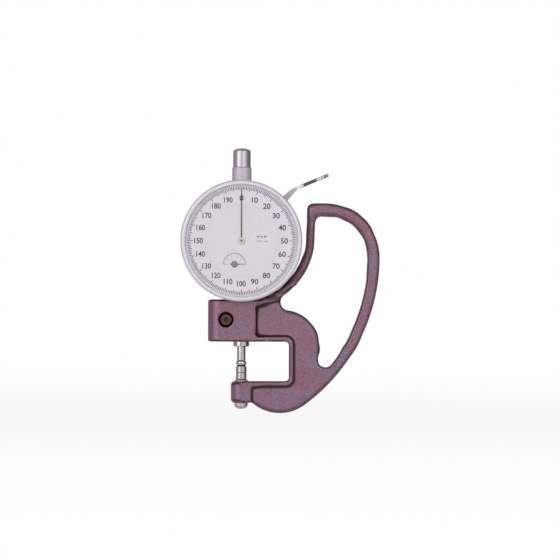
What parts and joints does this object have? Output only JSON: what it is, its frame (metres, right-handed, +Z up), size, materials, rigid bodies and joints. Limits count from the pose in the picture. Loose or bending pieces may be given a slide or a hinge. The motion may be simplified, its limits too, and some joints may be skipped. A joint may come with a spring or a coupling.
{
  "type": "dial thickness gauge",
  "caption": "Hand-held dial thickness gauge: cast handle frame with a throat and anvil, round dial indicator, spindle with flat contact and a thumb lifting lever.",
  "frame": {"origin": "middle of the anvil's measuring face, on the spindle axis", "axes": "+Z up along the spindle, +X towards the handle, -Y the way the dial faces"},
  "size_m": [0.0935, 0.0238, 0.1247],
  "materials": {
    "hammer_paint": "satin",
    "satin_case": "satin",
    "bright_steel": "satin",
    "chrome_strip": "polished",
    "black_screw": "satin",
    "movement_brass": "satin",
    "dial_silver": "matte",
    "black_hand": "matte",
    "clear_crystal": "gloss",
    "spring_steel": "satin"
  },
  "bodies": {
    "frame_unit": {"frame": "hammer_paint", "anvil": "bright_steel", "clamp_screw": "black_screw", "case_body": "satin_case", "lower_stem": "bright_steel", "stem_bush": "movement_brass", "upper_sleeve": "bright_steel", "upper_bush": "movement_brass", "dust_cap": "bright_steel", "back_cover": "satin_case", "back_cover_screws": "bright_steel", "bezel_retaining_wire": "spring_steel", "dial_plate": "dial_silver", "movement_plate": "movement_brass", "movement_pillars": "movement_brass", "movement_screws": "bright_steel", "pinion_cock": "movement_brass", "hairspring": "spring_steel", "hairspring_stud": "bright_steel", "guide_rail": "bright_steel", "return_spring": "spring_steel", "spring_post": "bright_steel", "lever_pivot": "bright_steel"},
    "bezel_unit": {"bezel": "satin_case", "crystal": "clear_crystal", "dial_ring": "dial_silver"},
    "pointer_unit": {"centre_pinion": "bright_steel", "pointer": "black_hand", "pointer_hub": "movement_brass"},
    "spindle_unit": {"spindle": "bright_steel", "contact_point": "bright_steel", "lift_pin": "bright_steel", "guide_pin": "bright_steel"},
    "first_arbor": {"rack_pinion": "bright_steel", "first_wheel": "movement_brass"},
    "second_arbor": {"second_pinion": "bright_steel", "second_wheel": "movement_brass"},
    "counter_unit": {"counter_arbor": "bright_steel", "counter_wheel": "movement_brass", "hairspring_collet": "movement_brass", "counter_hand": "black_hand", "counter_hub": "black_hand"},
    "lever": {"lifting_lever": "chrome_strip"}
  },
  "joints": [
    {"name": "bezel_turn", "type": "hinge", "parent": "frame_unit", "child": "bezel_unit", "pos_m": [0, 0, 0.0652], "axis": [0, 1, 0], "continuous": true},
    {"name": "pointer_turn", "type": "hinge", "parent": "frame_unit", "child": "pointer_unit", "pos_m": [0, 0, 0.0652], "axis": [0, 1, 0], "range_deg": [0, 1800]},
    {"name": "spindle_lift", "type": "slide", "parent": "frame_unit", "child": "spindle_unit", "axis": [0, 0, 1], "range_m": [0, 0.001], "stiffness_N_per_m": 100, "springref_m": -0.012, "deforming": ["return_spring"]},
    {"name": "first_arbor_turn", "type": "hinge", "parent": "frame_unit", "child": "first_arbor", "pos_m": [0.00304, 0, 0.0752], "axis": [0, 1, 0], "range_deg": [0, 36]},
    {"name": "second_arbor_turn", "type": "hinge", "parent": "frame_unit", "child": "second_arbor", "pos_m": [0.00615, 0, 0.06621], "axis": [0, 1, 0], "range_deg": [-360, 0]},
    {"name": "counter_turn", "type": "hinge", "parent": "frame_unit", "child": "counter_unit", "pos_m": [-0.00323, 0, 0.05425], "axis": [0, 1, 0], "range_deg": [-180, 0]},
    {"name": "lever_swing", "type": "hinge", "parent": "frame_unit", "child": "lever", "pos_m": [0.0142, 0, 0.0766], "axis": [0, 1, 0], "range_deg": [0, 5.16]}
  ],
  "couplings": [
    {"joint": "pointer_turn", "follows": "spindle_lift", "rad_per_m": 31416},
    {"joint": "first_arbor_turn", "follows": "spindle_lift", "rad_per_m": 628.32},
    {"joint": "second_arbor_turn", "follows": "spindle_lift", "rad_per_m": -6283.2},
    {"joint": "counter_turn", "follows": "spindle_lift", "rad_per_m": -3141.6},
    {"joint": "lever_swing", "follows": "spindle_lift", "rad_per_m": 90}
  ]
}
